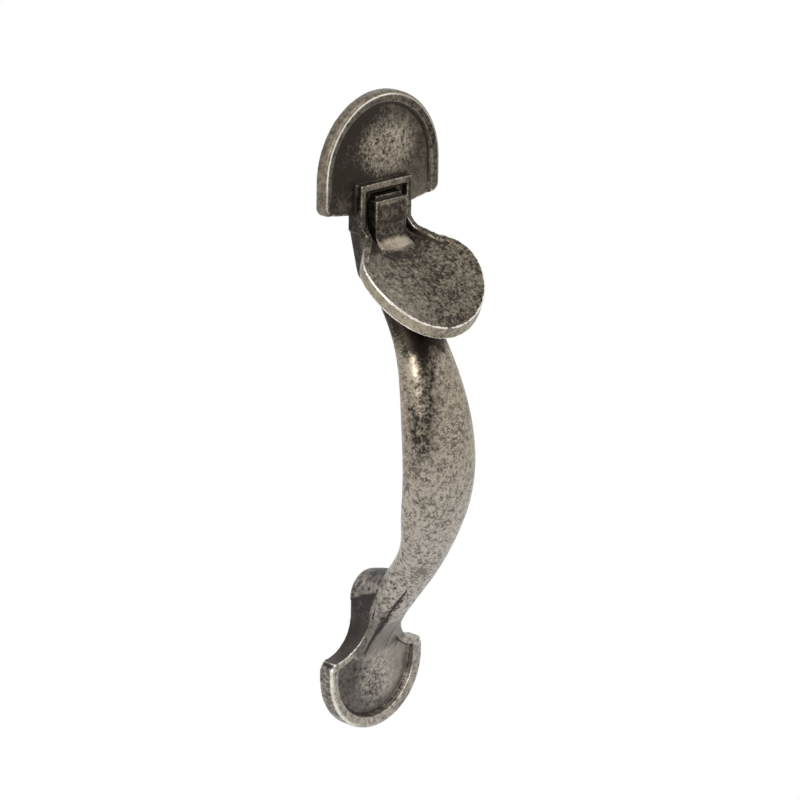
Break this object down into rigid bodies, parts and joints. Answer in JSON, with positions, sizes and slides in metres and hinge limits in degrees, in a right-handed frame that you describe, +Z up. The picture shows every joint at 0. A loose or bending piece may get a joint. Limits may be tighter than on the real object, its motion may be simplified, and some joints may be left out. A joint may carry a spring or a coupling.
{
  "type": "door pull handle",
  "caption": "One-piece cast pull handle with two D-shaped plates, a round thumb disc under a framed tongue, and a bowed oval grip, fixed by two screws from behind.",
  "frame": {"origin": "on the flat back, midway between the two fixing holes", "axes": "+Z up the handle, +X to the right seen from the front, -Y out of the door towards the hand"},
  "size_m": [0.0388, 0.0305, 0.1604],
  "materials": {
    "antique_casting": "dark aged finish, worn lighter on the high places"
  },
  "bodies": {
    "root": {"pull_handle": "antique_casting"}
  },
  "joints": []
}
